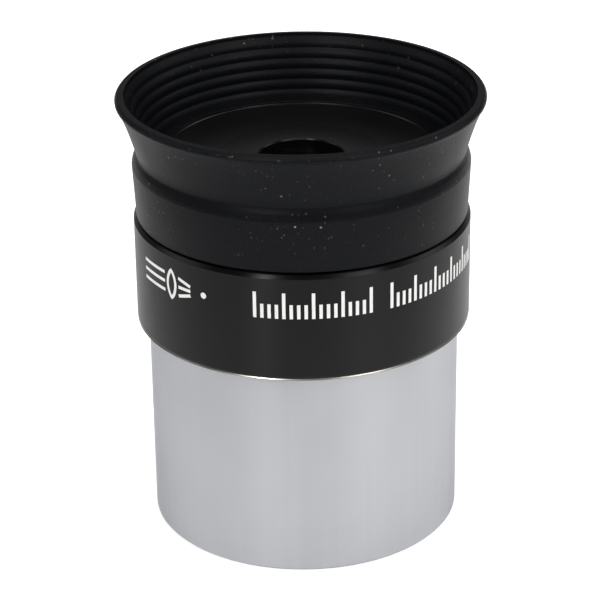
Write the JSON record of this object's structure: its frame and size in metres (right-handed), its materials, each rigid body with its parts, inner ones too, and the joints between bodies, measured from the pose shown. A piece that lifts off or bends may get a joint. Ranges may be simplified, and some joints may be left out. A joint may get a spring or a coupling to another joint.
{
  "type": "telescope eyepiece",
  "caption": "Short telescope eyepiece: a chromed push-fit barrel, a black head that unscrews from it, lens doublets inside and a flared rubber eyecup that folds down.",
  "frame": {"origin": "middle of the barrel's lower end, where it stands on a table or meets a filter", "axes": "+Z along the optical axis, from the telescope towards the eye; the piece is round, so X and Y are free"},
  "size_m": [0.037, 0.037, 0.0458],
  "materials": {
    "chromed_barrel": "satin chrome plate over turned brass",
    "black_anodised_metal": "turned, black anodised, semi-gloss",
    "blackened_metal": "turned, dull black to stop stray light",
    "coated_glass": "polished, with a thin anti-reflection coating",
    "black_rubber": "moulded, matte"
  },
  "bodies": {
    "nosepiece": {"barrel": "chromed_barrel", "field_stop_ring": "blackened_metal"},
    "lens_stack": {"eye_flint": "coated_glass", "eye_crown": "coated_glass", "spacer_ring": "blackened_metal", "field_crown": "coated_glass", "field_flint": "coated_glass"},
    "head": {"housing": "black_anodised_metal", "lens_cell": "blackened_metal", "cell_lock_ring": "blackened_metal", "lens_retaining_ring": "blackened_metal", "eyecup_band": "black_rubber", "eyecup_flare": "black_rubber"},
    "cup_lip": {"eyecup_lip": "black_rubber"}
  },
  "joints": [
    {"name": "head_lift", "type": "slide", "parent": "nosepiece", "child": "lens_stack", "axis": [0, 0, 1], "range_m": [0, 0.0034]},
    {"name": "head_turn", "type": "hinge", "parent": "lens_stack", "child": "head", "pos_m": [0, 0, 0.0221], "axis": [0, 0, 1], "range_deg": [0, 1620]},
    {"name": "eyecup_fold", "type": "slide", "parent": "head", "child": "cup_lip", "axis": [0, 0, -1], "range_m": [0, 0.0078], "deforming": ["eyecup_flare"]}
  ],
  "couplings": [
    {"joint": "head_lift", "follows": "head_turn", "m_per_rad": 0.00011937}
  ]
}
